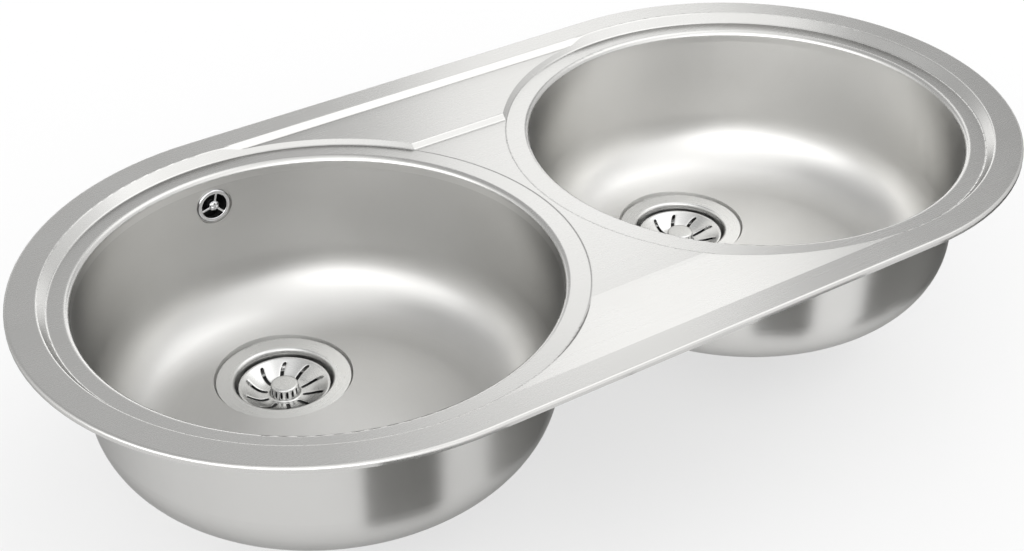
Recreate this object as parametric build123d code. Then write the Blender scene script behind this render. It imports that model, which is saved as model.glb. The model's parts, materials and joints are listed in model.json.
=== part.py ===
from build123d import *
import math
import os

# Inset double bowl kitchen sink in pressed stainless steel, in millimetres.
# The origin is the centre of the cut-out, on the worktop surface: the rim edge rests at z = 0.
# X runs along the sink from the left bowl to the right one, Y to the back, and Z is up.
# Each node is written as one STEP file in parts/.

# ---------------------------------------------------------------- driving dimensions

# Pressed sheet, and how far a cut runs past what it cuts
sheet = 0.9
waste_sheet = 0.8
cut_past = 1

# Outline and rim
sink_length = 866
sink_width = 460
rim_edge_height = 4.5
rim_edge_radius = 2.5
rim_ledge = 23.5

# Bowls, in plan and in depth
bowl_spacing = 410
mouth_radius = 182.5
wall_draft = 2.4
lip_radius = 5
bowl_depth = 145.2
bowl_corner_radius = 56
collar_straight = 5.2

# Step down from the rim ledge to the flat surround of the bowls
surround_drop = 8.3
step_run = 5.5
bend_radius = 2.5

# Tap platform at the back and ramp at the front, both between the bowls
platform_drop = 4.2
platform_front = 129.8
platform_front_run = 4.4
ramp_foot = 136
ramp_foot_blend = 40

# Waste: its place in the bowl, the stamped recess and the hole
waste_offset = 78
waste_hole_radius = 45
recess_radius = 56.2
recess_depth = 4.2
recess_flare = 1
recess_height = 10
recess_bend = 1.5

# Waste flange and cup
flange_radius = 55.2
flange_edge_gap = 0.3
flange_dish = 0.7
flange_gasket = 1.4
throat_radius = 40.2
throat_bend = 3
cup_depth = 19.8
cup_taper = 0.8
cup_corner_radius = 5
sump_radius = 26.5
sump_depth = 6
petal_count = 6
petal_inner_radius = 13.5
petal_outer_radius = 23.5
petal_gap = 3

# Waste body below the bowl
body_gasket = 2.5
body_flange_radius = 54
body_flange = 4
body_wall = 3
body_clearance = 2.6
body_straight = 24
body_cone = 14
outlet_radius = 23.9
outlet_bore = 20
outlet_length = 24
inlet_drop = 12
inlet_collar = 6
inlet_length = 18
hub_radius = 12
hub_length = 12
hub_ribs = 3
hub_rib_width = 3

# Stubs for the overflow hose, with a collar that stops it
stub_radius = 10
stub_bore = 7.5
stub_stop = 0.9

# Centre screw and its insert
screw_radius = 6
screw_head_radius = 10
screw_head = 2.4
screw_bore = 4.5
screw_bore_depth = 20
insert_radius = 8.5
insert_flange_radius = 10.5
insert_flange = 2
screw_tail = 1.5

# Basket strainer: pressed dish, stem and seal
basket_sheet = 0.7
basket_drop = 6.8
basket_rim_clearance = 2.6
basket_rim_width = 1.6
basket_blend = 18
basket_floor_radius = 20
basket_hub_radius = 12.3
basket_hub_taper = 1.1
basket_hub_height = 10.3
basket_hub_bend = 1.5
slot_count = 10
slot_width = 2.2
slot_inner_radius = 15.4
slot_outer_radius = 32.2
slot_phase = 29
slot_lean = 8
slot_bow = 1.4
hub_slot_count = 15
hub_slot_width = 1.9
hub_slot_height = 6
hub_slot_foot = 2.4
seal_radius = 31
seal_thickness = 3
seal_seat_gap = 0.3
stem_radius = 4
stem_collar_radius = 13
stem_collar = 2
stem_length = 16
stem_head_radius = 7
stem_head = 2

# Overflow of the left bowl
overflow_drop = 35.5
overflow_hole_radius = 12
seat_radius = 15.8
seat_depth = 1.2
rosette_radius = 14.6
rosette_thickness = 2.2
rosette_opening = 11
rosette_hub_radius = 4.4
rosette_spoke = 2.6
rosette_spoke_angles = (75, 195, 315)
rosette_hub = 1.6
rosette_round = 1
overflow_gasket = 2
overflow_gasket_radius = 16.2
overflow_body_depth = 22
overflow_body_wall = 2.4
spigot_collar = 4
spigot_length = 22
overflow_boss_radius = 4
overflow_screw_radius = 2.5
overflow_screw_head_radius = 4
overflow_screw_head = 1.8
overflow_screw_round = 1.4
overflow_screw_length = 16
overflow_bore_spare = 2.5

# Seal strip and clip lugs under the rim
seal_strip_inset = 5
seal_strip_width = 9.5
lug_length = 24
lug_height = 8.5
lug_foot = 5
lug_sheet = 1.5
lug_inset = 20.5
lug_slot_length = 14
lug_slot_height = 4
lug_spacing = 100
lugs_per_side = 4
lug_end_angles = (-40, 0, 40)

# Damping pads under the bowl floors
pad_length = 150
pad_width = 76
pad_thickness = 2
pad_corner = 12
pad_offset = -58

# Clearances of the fits
screw_clearance = 0.3
insert_clearance = 0.05
stem_clearance = 0.1
gasket_clearance = 0.8

# ---------------------------------------------------------------- derived levels and radii

rim_top = rim_edge_height
surround_level = rim_top - surround_drop
lip_tangent = lip_radius * math.tan(math.radians(90 - wall_draft) / 2)
weld_level = surround_level - lip_tangent - collar_straight
platform_level = rim_top - platform_drop
floor_level = rim_top - bowl_depth
ledge_level = floor_level - recess_depth

step_top_radius = sink_width / 2 - rim_ledge
step_foot_radius = step_top_radius - step_run
ledge_overlap = bend_radius + 1
lip_outer_radius = mouth_radius + lip_radius
bowl_centre = bowl_spacing / 2
end_centre = (sink_length - sink_width) / 2

flange_top = ledge_level + flange_gasket + waste_sheet
cup_ledge_level = flange_top - cup_depth
sump_level = cup_ledge_level - sump_depth

body_top = ledge_level - sheet - body_gasket
body_bore = throat_radius + waste_sheet + body_clearance
body_shoulder = body_top - body_straight
body_throat = body_shoulder - body_cone
outlet_end = body_throat - outlet_length
hub_bottom = body_throat - hub_length

seal_bottom = cup_ledge_level + seal_seat_gap
seal_top = seal_bottom + seal_thickness
basket_floor = seal_top + basket_sheet
basket_rim_level = flange_top - basket_drop
basket_rim_radius = throat_radius - basket_rim_clearance
basket_hub_top = basket_floor + basket_hub_height
stem_collar_bottom = seal_bottom - stem_collar

screw_top = sump_level + screw_head
insert_bottom = hub_bottom - insert_flange

overflow_level = rim_top - overflow_drop
elbow_face = -sheet - overflow_gasket
elbow_back = elbow_face - overflow_body_depth

SIDES = {"left": -1, "right": 1}


def wall_radius(level):
    """Inner radius of the drafted bowl wall at a level."""
    return mouth_radius + math.tan(math.radians(wall_draft)) * (level - surround_level)


seat_distance = wall_radius(overflow_level) + seat_depth


# ---------------------------------------------------------------- helpers

def turned_face(face):
    """Solid made by turning a face, drawn as (radius, level), about the Z axis."""
    return revolve(Plane.XZ * face, Axis.Z)


def turned(*points):
    """Solid of revolution about Z from straight (radius, level) points."""
    return turned_face(make_face(Polyline(*points, close=True)))


def sheet_face(line, thickness):
    """Section of the sheet below a line that runs outwards from the axis."""
    return make_face(offset(line, amount=thickness, side=Side.RIGHT))


def air_face(line, *corners):
    """Section of the air above a line, closed from its end back to its start through the corners."""
    return make_face(line + Polyline(line @ 1, *corners, line @ 0))


def ring(inner, outer, bottom, top):
    """Plain ring about the Z axis."""
    return turned((inner, bottom), (outer, bottom), (outer, top), (inner, top))


def disc(radius, bottom, top):
    """Plain disc about the Z axis."""
    return Pos(0, 0, bottom) * extrude(Circle(radius), amount=top - bottom)


def at_bowl(side, shape):
    """Shape drawn about the Z axis, moved to the centre of one bowl."""
    return Pos(side * bowl_centre, 0, 0) * shape


def at_end(side, shape):
    """Shape drawn about the Z axis, moved to the centre of one rounded end of the rim."""
    return Pos(side * end_centre, 0, 0) * shape


def at_waste(side, shape):
    """Shape drawn about the Z axis, moved to the waste of one bowl."""
    return Pos(side * bowl_centre, waste_offset, 0) * shape


def at_overflow(shape):
    """Shape drawn on the overflow seat, with its Z axis into the bowl and Y up."""
    seat = Plane(origin=(-bowl_centre, seat_distance, overflow_level), x_dir=(1, 0, 0), z_dir=(0, -1, 0))
    return seat * shape


# ---------------------------------------------------------------- deck

def lip_line():
    """Radial line about a bowl: weld edge, collar wall and lip up to the flat surround."""
    return FilletPolyline(
        (wall_radius(weld_level), weld_level),
        (mouth_radius, surround_level),
        (lip_outer_radius, surround_level),
        radius=lip_radius,
    )


def step_line():
    """Radial line about an end of the rim: flat surround, step and rim ledge."""
    return FilletPolyline(
        (0, surround_level),
        (step_foot_radius, surround_level),
        (step_top_radius, rim_top),
        (step_top_radius + ledge_overlap, rim_top),
        radius=bend_radius,
    )


def middle_line():
    """Line from front to back over the middle: ramp, web, platform and step to the back ledge."""
    return FilletPolyline(
        (-step_top_radius - ledge_overlap, rim_top),
        (-step_top_radius, rim_top),
        (-ramp_foot, surround_level),
        (platform_front - platform_front_run, surround_level),
        (platform_front, platform_level),
        (step_foot_radius, platform_level),
        (step_top_radius, rim_top),
        (step_top_radius + ledge_overlap, rim_top),
        radius=[0, ramp_foot_blend, bend_radius, bend_radius, bend_radius, bend_radius],
    )


def across(face):
    """Face drawn as (distance to the back, level), run from one end centre to the other."""
    return extrude(Plane.YZ * face, amount=end_centre, both=True)


def rim_sheet():
    """Flat rim plate with its edge folded down all round."""
    plate = extrude(SlotOverall(sink_length, sink_width), amount=rim_top)
    plate = fillet(plate.faces().sort_by(Axis.Z)[-1].edges(), rim_edge_radius)
    hollow = extrude(SlotOverall(sink_length - 2 * sheet, sink_width - 2 * sheet), amount=rim_top - sheet)
    hollow = fillet(hollow.faces().sort_by(Axis.Z)[-1].edges(), rim_edge_radius - sheet)
    return plate - hollow


def deck():
    """Pressed top: rim, steps, flat surround, platform and ramp, with a drawn collar for each bowl."""
    above = rim_top + bend_radius
    edge = step_top_radius + ledge_overlap
    lip = lip_line()
    step = step_line()
    middle = middle_line()
    collar_skin = turned_face(sheet_face(lip, sheet))
    collar_air = turned_face(air_face(lip, (lip_outer_radius, above), (0, above), (0, weld_level)))
    step_skin = turned_face(sheet_face(step, sheet))
    step_air = turned_face(air_face(step, (edge, above), (0, above)))
    solid = rim_sheet() + across(sheet_face(middle, sheet))
    for side in SIDES.values():
        solid += at_end(side, step_skin)
        solid += at_bowl(side, collar_skin)
    solid -= across(air_face(middle, (edge, above), (-edge, above)))
    for side in SIDES.values():
        solid -= at_end(side, step_air)
        solid -= at_bowl(side, collar_air)
    return solid


# ---------------------------------------------------------------- bowls

def bowl_line():
    """Radial line inside the drawn bowl: floor, corner and drafted wall up to the weld."""
    return FilletPolyline(
        (0, floor_level),
        (wall_radius(floor_level), floor_level),
        (wall_radius(weld_level), weld_level),
        radius=bowl_corner_radius,
    )


def recess_line():
    """Radial line of the stamped recess round the waste hole."""
    return FilletPolyline(
        (waste_hole_radius, ledge_level),
        (recess_radius, ledge_level),
        (recess_radius + recess_flare, ledge_level + recess_height),
        radius=recess_bend,
    )


def bowl(side, overflow):
    """Drawn bowl with the waste recess, and the overflow seat where it has one."""
    line = bowl_line()
    recess = recess_line()
    air = at_bowl(side, turned_face(air_face(line, (0, weld_level))))
    shell = at_bowl(side, turned_face(sheet_face(line, sheet)))
    recess_skin = at_waste(side, turned_face(sheet_face(recess, sheet)))
    above = ledge_level + recess_height
    below = ledge_level - sheet - cut_past
    recess_air = turned_face(air_face(recess, (0, above), (0, below), (waste_hole_radius, below)))
    shell += recess_skin - air
    shell -= at_waste(side, recess_air)
    if overflow:
        seat_skin = at_overflow(disc(seat_radius + sheet, -sheet, seat_radius))
        shell += seat_skin - air
        shell -= at_overflow(disc(seat_radius, 0, seat_radius))
        shell -= at_overflow(disc(overflow_hole_radius, -seat_radius, seat_radius))
    return shell


# ---------------------------------------------------------------- waste

def hose_stub(start, collar_reach, length):
    """Stub for the overflow hose: a thicker collar that stops the hose, then the free length."""
    solid = extrude(start * Circle(stub_radius + stub_stop), amount=collar_reach)
    return solid + extrude(start * Circle(stub_radius), amount=collar_reach + length)


def waste_flange():
    """Pressed waste cup: dished flange, throat, seal ledge and petalled sump with the screw hole."""
    line = FilletPolyline(
        (0, sump_level),
        (sump_radius, sump_level),
        (sump_radius, cup_ledge_level),
        (throat_radius - cup_taper, cup_ledge_level),
        (throat_radius, flange_top - flange_dish),
        (flange_radius, flange_top),
        (flange_radius, ledge_level + flange_edge_gap),
        radius=[bend_radius, bend_radius, cup_corner_radius, throat_bend, waste_sheet],
    )
    cup = turned_face(sheet_face(line, waste_sheet))
    below = sump_level - waste_sheet - cut_past
    above = sump_level + cut_past
    cup -= disc(screw_radius + screw_clearance, below, above)
    petals = ring(petal_inner_radius, petal_outer_radius, below, above)
    bar_length = petal_outer_radius + cut_past
    bar = Pos(bar_length / 2, 0, (below + above) / 2) * Box(bar_length, petal_gap, above - below)
    for index in range(petal_count):
        petals -= Rot(0, 0, index * 360 / petal_count) * bar
    return cup - petals


def flange_underside(radius):
    """Level of the underside of the dished flange at a radius."""
    rise = flange_dish / (flange_radius - throat_radius)
    return flange_top - (flange_radius - radius) * rise - waste_sheet * math.hypot(1, rise)


def flange_seal():
    """Gasket that fills the space between the dished waste flange and the recess ledge."""
    inner = waste_hole_radius + gasket_clearance
    outer = flange_radius - waste_sheet - gasket_clearance
    return turned(
        (inner, ledge_level),
        (outer, ledge_level),
        (outer, flange_underside(outer)),
        (inner, flange_underside(inner)),
    )


def body_seal():
    """Thick washer between the underside of the recess and the waste body."""
    return ring(waste_hole_radius + gasket_clearance, body_flange_radius, body_top, body_top + body_gasket)


def waste_body(inlet):
    """Moulded waste body: flange, bowl, cone, outlet stub, ribbed hub and, on one side, the overflow inlet."""
    outer = body_bore + body_wall
    solid = turned(
        (body_bore, body_top),
        (body_flange_radius, body_top),
        (body_flange_radius, body_top - body_flange),
        (outer, body_top - body_flange),
        (outer, body_shoulder),
        (outlet_radius, body_throat),
        (outlet_radius, outlet_end),
        (outlet_bore, outlet_end),
        (outlet_bore, body_throat),
        (body_bore, body_shoulder),
    )
    rib_length = (outlet_bore + outlet_radius) / 2
    rib = Pos(rib_length / 2, 0, (body_throat + hub_bottom) / 2) * Box(rib_length, hub_rib_width, hub_length)
    for index in range(hub_ribs):
        solid += Rot(0, 0, 90 + index * 360 / hub_ribs) * rib
    solid += disc(hub_radius, hub_bottom, body_throat)
    solid -= disc(insert_radius + insert_clearance, hub_bottom, body_throat)
    if inlet:
        start = Plane(origin=(0, 0, body_top - inlet_drop), x_dir=(-1, 0, 0), z_dir=(0, 1, 0))
        collar_reach = body_flange_radius + inlet_collar
        solid += hose_stub(start, collar_reach, inlet_length) - disc(body_bore, body_shoulder, body_top)
        solid -= extrude(start * Circle(stub_bore), amount=collar_reach + inlet_length)
    return solid


def waste_screw():
    """Hollow centre screw that draws the waste body up; the basket stem slides in its bore."""
    solid = disc(screw_head_radius, sump_level, screw_top)
    solid += disc(screw_radius, insert_bottom - screw_tail, sump_level)
    return solid - disc(screw_bore, screw_top - screw_bore_depth, screw_top)


def waste_insert():
    """Threaded metal insert that the centre screw pulls up against the hub."""
    solid = disc(insert_radius, hub_bottom, body_throat)
    solid += disc(insert_flange_radius, insert_bottom, hub_bottom)
    return solid - disc(screw_radius + insert_clearance, insert_bottom, body_throat)


# ---------------------------------------------------------------- basket strainer

def basket_slot():
    """One curved slot of the basket, drawn flat: it leans clockwise and bows the other way."""
    half_lean = math.radians(slot_lean / 2)
    start = Vector(slot_inner_radius * math.cos(half_lean), slot_inner_radius * math.sin(half_lean))
    end = Vector(slot_outer_radius * math.cos(half_lean), -slot_outer_radius * math.sin(half_lean))
    along = (end - start).normalized()
    middle = (start + end) * 0.5 + Vector(-along.Y, along.X) * slot_bow
    return SlotArc(ThreePointArc(start, middle, end), slot_width)


def basket():
    """Pressed basket: raised slotted hub, dished body with curved slots and a narrow flat rim."""
    line = FilletPolyline(
        (0, basket_hub_top),
        (basket_hub_radius - basket_hub_taper, basket_hub_top),
        (basket_hub_radius, basket_floor),
        (basket_floor_radius, basket_floor),
        (basket_rim_radius - basket_rim_width, basket_rim_level),
        (basket_rim_radius, basket_rim_level),
        radius=[basket_hub_bend, basket_hub_bend, basket_blend, basket_hub_bend],
    )
    solid = turned_face(sheet_face(line, basket_sheet))
    height = basket_rim_level - seal_top
    slot = Pos(0, 0, seal_top) * extrude(basket_slot(), amount=height)
    for index in range(slot_count):
        solid -= Rot(0, 0, slot_phase + index * 360 / slot_count) * slot
    middle = basket_floor + hub_slot_foot + hub_slot_height / 2
    window_depth = 2 * (basket_sheet + cut_past)
    window_radius = basket_hub_radius - basket_hub_taper / 2
    window = Pos(window_radius, 0, middle) * Box(window_depth, hub_slot_width, hub_slot_height)
    for index in range(hub_slot_count):
        solid -= Rot(0, 0, (index + 0.5) * 360 / hub_slot_count) * window
    return solid


def basket_seal():
    """Rubber disc under the basket that closes the sump when the basket is pressed down."""
    return ring(stem_radius + stem_clearance, seal_radius, seal_bottom, seal_top)


def basket_stem():
    """Moulded stem: head inside the hub, collar under the seal and shank in the hollow screw."""
    head_top = basket_hub_top - basket_sheet
    solid = disc(stem_head_radius, head_top - stem_head, head_top)
    solid += disc(stem_radius, stem_collar_bottom - stem_length, head_top)
    return solid + disc(stem_collar_radius, stem_collar_bottom, seal_bottom)


# ---------------------------------------------------------------- overflow

def overflow_rosette():
    """Open cover ring with three spokes and a hub for the screw."""
    solid = ring(rosette_opening, rosette_radius, 0, rosette_thickness)
    rim = solid.edges().filter_by(GeomType.CIRCLE).group_by(Axis.Z)[-1].sort_by(SortBy.RADIUS)[-1]
    solid = fillet(rim, rosette_round)
    reach = (rosette_opening + rosette_radius) / 2
    for angle in rosette_spoke_angles:
        solid += Rot(0, 0, angle) * (Pos(reach / 2, 0, rosette_hub / 2) * Box(reach, rosette_spoke, rosette_hub))
    solid += disc(rosette_hub_radius, 0, rosette_hub)
    return solid - disc(overflow_screw_radius + screw_clearance, 0, rosette_hub)


def overflow_screw():
    """Round-headed screw that draws the overflow elbow against the wall."""
    solid = disc(overflow_screw_head_radius, rosette_hub, rosette_hub + overflow_screw_head)
    edge = solid.edges().group_by(Axis.Z)[-1]
    solid = fillet(edge, overflow_screw_round)
    return solid + disc(overflow_screw_radius, rosette_hub - overflow_screw_length, rosette_hub)


def overflow_seal():
    """Gasket between the outside of the wall and the overflow elbow."""
    return ring(overflow_hole_radius, overflow_gasket_radius, elbow_face, -sheet)


def overflow_elbow():
    """Moulded chamber behind the wall with a screw boss and a hose spigot that points down."""
    chamber_radius = overflow_gasket_radius - overflow_body_wall
    centre = (elbow_face + elbow_back) / 2
    solid = disc(overflow_gasket_radius, elbow_back, elbow_face)
    down = Plane(origin=(0, 0, centre), x_dir=(1, 0, 0), z_dir=(0, -1, 0))
    collar_reach = overflow_gasket_radius + spigot_collar
    solid += hose_stub(down, collar_reach, spigot_length)
    solid -= disc(chamber_radius, elbow_back + overflow_body_wall, elbow_face)
    solid -= extrude(down * Circle(stub_bore), amount=collar_reach + spigot_length)
    solid += disc(overflow_boss_radius, elbow_back, elbow_face)
    bore_end = rosette_hub - overflow_screw_length - overflow_bore_spare
    return solid - disc(overflow_screw_radius + insert_clearance, bore_end, elbow_face)


# ---------------------------------------------------------------- below the rim and the floors

def rim_seal():
    """Seal strip that lies inside the folded edge all round."""
    outer = SlotOverall(sink_length - 2 * seal_strip_inset, sink_width - 2 * seal_strip_inset)
    inner_inset = seal_strip_inset + seal_strip_width
    inner = SlotOverall(sink_length - 2 * inner_inset, sink_width - 2 * inner_inset)
    return extrude(outer - inner, amount=rim_top - sheet)


def clip_lug():
    """Slotted lug for a fixing clip, with its foot outwards along Y and its top at z = 0."""
    plate = Pos(0, lug_sheet / 2, -lug_height / 2) * Box(lug_length, lug_sheet, lug_height)
    foot = Pos(0, lug_foot / 2, -lug_sheet / 2) * Box(lug_length, lug_foot, lug_sheet)
    slot_depth = lug_sheet + 2 * cut_past
    slot = Pos(0, lug_sheet / 2, -lug_height + lug_slot_height) * Box(lug_slot_length, slot_depth, lug_slot_height)
    return plate + foot - slot


def clip_lugs():
    """All lugs: a row along the front and back, and a few round each end."""
    top = rim_top - sheet
    lug = clip_lug()
    lugs = []
    for index in range(lugs_per_side):
        x = (index - (lugs_per_side - 1) / 2) * lug_spacing
        for turn in (0, 180):
            lugs.append(Rot(0, 0, turn) * (Pos(x, sink_width / 2 - lug_inset, top) * lug))
    for side in SIDES.values():
        for angle in lug_end_angles:
            turn = Rot(0, 0, angle - 90 * side)
            lugs.append(Pos(side * end_centre, 0, top) * turn * (Pos(0, sink_width / 2 - lug_inset, 0) * lug))
    return Compound(children=lugs)


def sound_pad():
    """Damping pad glued under the floor, in front of the waste."""
    top = floor_level - sheet
    outline = Pos(0, pad_offset, top) * RectangleRounded(pad_length, pad_width, pad_corner)
    return extrude(outline, amount=-pad_thickness)


# ---------------------------------------------------------------- nodes

nodes = {
    "deck": deck(),
    "rim_seal": rim_seal(),
    "clip_lugs": clip_lugs(),
    "left_bowl": bowl(SIDES["left"], overflow=True),
    "right_bowl": bowl(SIDES["right"], overflow=False),
    "overflow_rosette": at_overflow(overflow_rosette()),
    "overflow_screw": at_overflow(overflow_screw()),
    "overflow_gasket": at_overflow(overflow_seal()),
    "overflow_elbow": at_overflow(overflow_elbow()),
}
for name, side in SIDES.items():
    nodes[name + "_sound_pad"] = at_bowl(side, sound_pad())
    nodes[name + "_waste_flange"] = at_waste(side, waste_flange())
    nodes[name + "_flange_gasket"] = at_waste(side, flange_seal())
    nodes[name + "_body_gasket"] = at_waste(side, body_seal())
    nodes[name + "_waste_body"] = at_waste(side, waste_body(inlet=name == "left"))
    nodes[name + "_waste_screw"] = at_waste(side, waste_screw())
    nodes[name + "_waste_insert"] = at_waste(side, waste_insert())
    nodes[name + "_basket"] = at_waste(side, basket())
    nodes[name + "_basket_seal"] = at_waste(side, basket_seal())
    nodes[name + "_basket_stem"] = at_waste(side, basket_stem())

os.makedirs("parts", exist_ok=True)
for name, solid in nodes.items():
    export_step(solid, f"parts/{name}.step")
    print(f"{name:22s} {len(solid.solids())} solid(s) {solid.volume / 1000:9.2f} cm3")
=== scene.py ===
# %% [markdown]
# # An inset kitchen sink with two round bowls
# The sink is pressed from thin stainless steel: a top with a stepped rim, and two deep-drawn bowls welded
# under it. The construction model already holds every piece at its real size and place, in metres, so this
# lesson doesn't move anything. It gives each surface the finish it has on the real sink, swaps a few small
# fittings for finer meshes, and builds the studio in which such a sink is photographed.

# %% Load the frame
import bpy
import bmesh
import json
import math
from mathutils import Matrix, Vector


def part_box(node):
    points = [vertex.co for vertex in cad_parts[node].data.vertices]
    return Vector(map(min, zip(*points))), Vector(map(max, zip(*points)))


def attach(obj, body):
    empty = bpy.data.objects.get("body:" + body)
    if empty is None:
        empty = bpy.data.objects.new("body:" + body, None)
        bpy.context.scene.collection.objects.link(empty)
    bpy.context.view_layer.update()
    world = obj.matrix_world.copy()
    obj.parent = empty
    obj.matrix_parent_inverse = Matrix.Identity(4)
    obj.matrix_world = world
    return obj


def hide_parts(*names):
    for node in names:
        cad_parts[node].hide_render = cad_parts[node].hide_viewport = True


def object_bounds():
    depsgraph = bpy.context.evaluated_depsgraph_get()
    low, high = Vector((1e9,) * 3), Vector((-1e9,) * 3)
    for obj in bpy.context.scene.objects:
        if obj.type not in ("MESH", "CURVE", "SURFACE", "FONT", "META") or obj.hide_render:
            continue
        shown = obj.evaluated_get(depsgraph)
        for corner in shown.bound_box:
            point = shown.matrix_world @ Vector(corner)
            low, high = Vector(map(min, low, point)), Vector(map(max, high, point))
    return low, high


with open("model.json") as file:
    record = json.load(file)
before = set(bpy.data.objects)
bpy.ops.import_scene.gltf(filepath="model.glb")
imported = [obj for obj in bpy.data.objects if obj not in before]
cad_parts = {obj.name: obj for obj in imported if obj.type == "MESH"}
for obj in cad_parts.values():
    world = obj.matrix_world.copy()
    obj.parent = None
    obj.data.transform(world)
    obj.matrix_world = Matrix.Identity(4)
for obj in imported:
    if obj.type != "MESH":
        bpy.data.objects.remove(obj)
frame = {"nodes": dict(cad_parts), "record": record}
nodes = frame["nodes"]
cad_low, cad_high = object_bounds()
print("sink box:", [round(v, 4) for v in (*cad_low, *cad_high)])

# %% [markdown]
# ## Where the bowls and the wastes are
# Brushing marks run round each bowl and round each waste, so their axes are needed again and again.
# They are measured on the frame instead of being typed in: the middle of a round piece's box is its axis.

# %% Axes of the round pieces
SIDES = ("left", "right")


def middle(node):
    """Centre of a node's box."""
    low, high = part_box(node)
    return (Vector(low) + Vector(high)) / 2


bowl_axis = {side: middle(side + "_bowl") for side in SIDES}
waste_axis = {side: middle(side + "_waste_flange") for side in SIDES}
print({side: [round(v, 3) for v in bowl_axis[side]] for side in SIDES})
print({side: [round(v, 3) for v in waste_axis[side]] for side in SIDES})

# %% [markdown]
# ## Camera
# The photograph was taken from the front left, a third of the way up. Azimuth turns the camera round the
# sink, elevation lifts it, and the small roll is the tilt of the picture. A long lens keeps the two bowls
# alike in size.

# %% Camera
camera_azimuth = math.radians(-33.64)
camera_elevation = math.radians(33.60)
camera_roll = math.radians(-0.50)
camera_distance = 1.35596
camera_target = Vector((-0.0874, -0.0818, 0.0))
camera_lens = 64.41
scene = bpy.context.scene


def camera_axes(azimuth, elevation, roll):
    """Right, up and back directions of a camera that looks at its target."""
    flat = math.cos(elevation)
    back = Vector((math.sin(azimuth) * flat, -math.cos(azimuth) * flat, math.sin(elevation)))
    right = Vector((math.cos(azimuth), math.sin(azimuth), 0))
    up = back.cross(right)
    turned_right = math.cos(roll) * right + math.sin(roll) * up
    turned_up = math.cos(roll) * up - math.sin(roll) * right
    return turned_right, turned_up, back


camera_data = bpy.data.cameras.new("camera")
camera_data.lens = camera_lens
camera = bpy.data.objects.new("camera", camera_data)
scene.collection.objects.link(camera)
axes = camera_axes(camera_azimuth, camera_elevation, camera_roll)
camera_place = camera_target + axes[2] * camera_distance
camera.matrix_world = Matrix.Translation(camera_place) @ Matrix(axes).transposed().to_4x4()
scene.camera = camera
print("camera at", [round(v, 3) for v in camera_place])

# %% [markdown]
# ## Wiring
# The world and every material are trees of shader nodes. Each of these helpers adds one node and gives back
# its output socket. What feeds a node is either another socket or a plain value, so one function, feed,
# decides between a link and a default. A few more helpers of this kind come where they are first needed.

# %% Node helpers
def feed(tree, socket, value):
    """Link a socket to another one, or set its default."""
    if isinstance(value, bpy.types.NodeSocket):
        tree.links.new(value, socket)
    elif socket.type == "RGBA":
        socket.default_value = (*value[:3], 1)
    else:
        socket.default_value = value


def math_node(tree, operation, first, *others):
    """Math node."""
    node = tree.nodes.new("ShaderNodeMath")
    node.operation = operation
    for socket, value in zip(node.inputs, (first, *others)):
        feed(tree, socket, value)
    return node.outputs[0]


def mix_node(tree, factor, first, second, kind="RGBA"):
    """Mix of two colours, or of two vectors where kind says VECTOR."""
    node = tree.nodes.new("ShaderNodeMix")
    node.data_type = kind
    for label, value in (("Factor", factor), ("A", first), ("B", second)):
        feed(tree, node.inputs[label], value)
    return node.outputs["Result"]


def range_node(tree, value, start, end, low=0.0, high=1.0, kind="LINEAR"):
    """Value mapped so that start gives low and end gives high, and kept between those two."""
    node = tree.nodes.new("ShaderNodeMapRange")
    node.interpolation_type = kind
    levels = {"Value": value, "From Min": start, "From Max": end, "To Min": low, "To Max": high}
    for label, level in levels.items():
        feed(tree, node.inputs[label], level)
    return node.outputs["Result"]


def parts_of(tree, vector):
    """The three parts of a vector."""
    node = tree.nodes.new("ShaderNodeSeparateXYZ")
    feed(tree, node.inputs[0], vector)
    return node.outputs["X"], node.outputs["Y"], node.outputs["Z"]


print("helpers: feed, math_node, mix_node, range_node, parts_of")

# %% [markdown]
# ## Studio
# Polished steel has no colour of its own to speak of: it shows the room. So the room is what needs designing.
# One lamp over the sink would give a hard white spot and black steel. A photographer stands pale screens
# round the sink instead, brighter behind it and darker at its ends, and the steel takes soft bands from them.
# Here the screens are the world: one ring of levels round the sink, and a second one higher up. A bright
# strip runs low behind the sink, which the lips and the step mirror as thin bright lines.
# Azimuths are in degrees from +X towards +Y, and a level of 1 is white. The rings take over from each other
# at heights that are sines of an elevation: 0 at the horizon, 1 overhead.

# %% Levels of the screens
low_ring = {
    0: 1.0,
    16: 0.9,
    32: 0.38,
    42: 0.50,
    54: 1.0,
    66: 0.74,
    84: 0.60,
    112: 0.60,
    145: 1.1,
    180: 2.4,
    232: 3.0,
    280: 1.5,
    320: 1.0,
}
bright_strip = {32: 1.6, 42: 2.4, 54: 2.6, 66: 2.4, 84: 1.6}
strip_ring = {**low_ring, **bright_strip}
high_ring = {
    0: 1.35,
    60: 0.58,
    110: 0.55,
    160: 0.60,
    205: 1.3,
    240: 1.4,
    300: 1.35,
}
zenith_level = 1.0
strip_to_low = (0.20, 0.34)
low_to_high = (0.45, 0.80)
high_to_zenith = (0.92, 1.0)
print("screens:", len(low_ring), "levels below,", len(high_ring), "above")

# %% [markdown]
# A colour ramp is a straight line from 0 to 1, and the horizon is a circle. So the angle of each direction is
# worked out with an arctangent, wrapped into one turn and divided by it, and the last stop repeats the first.

# %% Rings round the sink
scene.view_settings.view_transform = "Standard"
world = bpy.data.worlds.new("studio")
scene.world = world
world.use_nodes = True
room = world.node_tree

full_turn = 2 * math.pi
direction = room.nodes.new("ShaderNodeTexCoord").outputs["Generated"]
to_east, to_north, raised = parts_of(room, direction)
bearing = math_node(room, "ARCTAN2", to_north, to_east)
bearing = math_node(room, "WRAP", bearing, full_turn, 0)
bearing = math_node(room, "DIVIDE", bearing, full_turn)


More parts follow.
